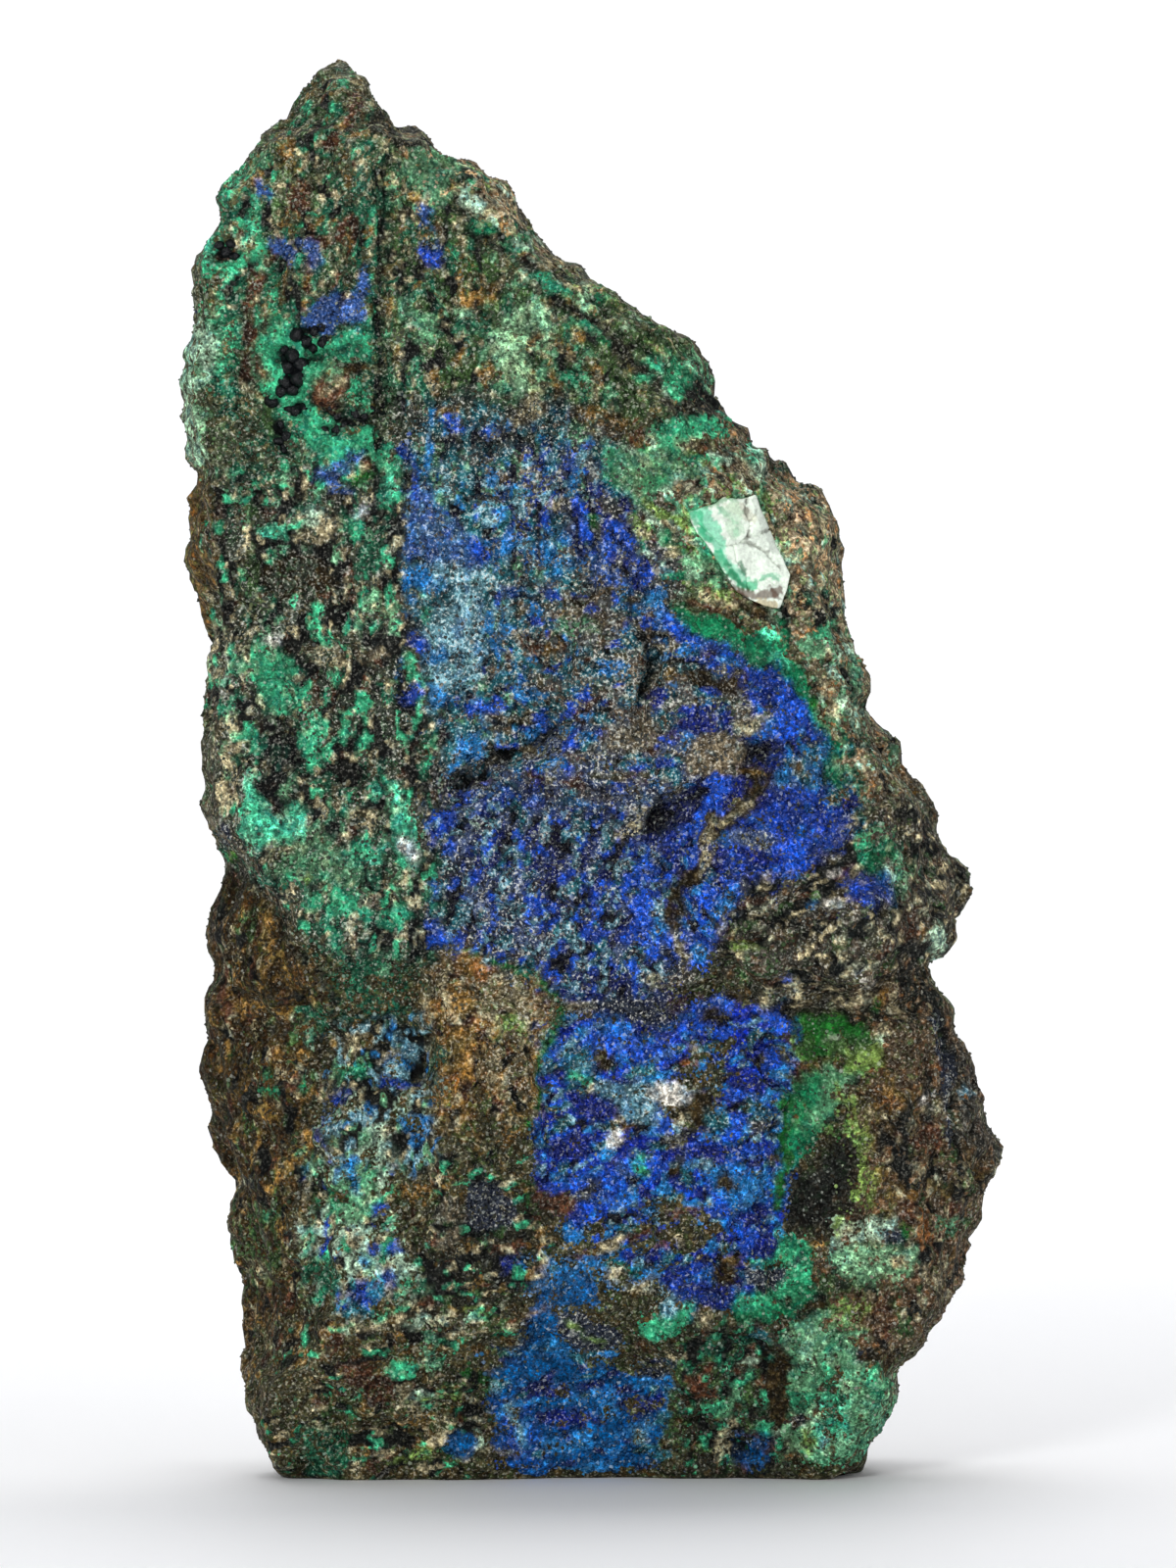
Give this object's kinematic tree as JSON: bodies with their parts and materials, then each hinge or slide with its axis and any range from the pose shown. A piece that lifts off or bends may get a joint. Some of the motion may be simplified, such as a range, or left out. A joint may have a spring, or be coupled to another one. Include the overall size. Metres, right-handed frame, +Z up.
{
  "type": "azurite specimen",
  "caption": "Upright broken hand specimen of dark iron-stained rock, crusted with blue azurite and green malachite, with a pointed top, a stepped side, a shoulder and a flat foot.",
  "frame": {"origin": "centre of the stone's bounding box, on the flat foot it stands on", "axes": "+Z up along the stone's height, +X to the right of the blue and green front face, -Y out of that face"},
  "size_m": [0.0836, 0.0476, 0.1445],
  "materials": {
    "azurite_rock": "rough broken rock, mottled with sparkling deep blue azurite, green malachite, iron-brown stains and cream grains"
  },
  "bodies": {
    "root": {"azurite_specimen": "azurite_rock"}
  },
  "joints": []
}
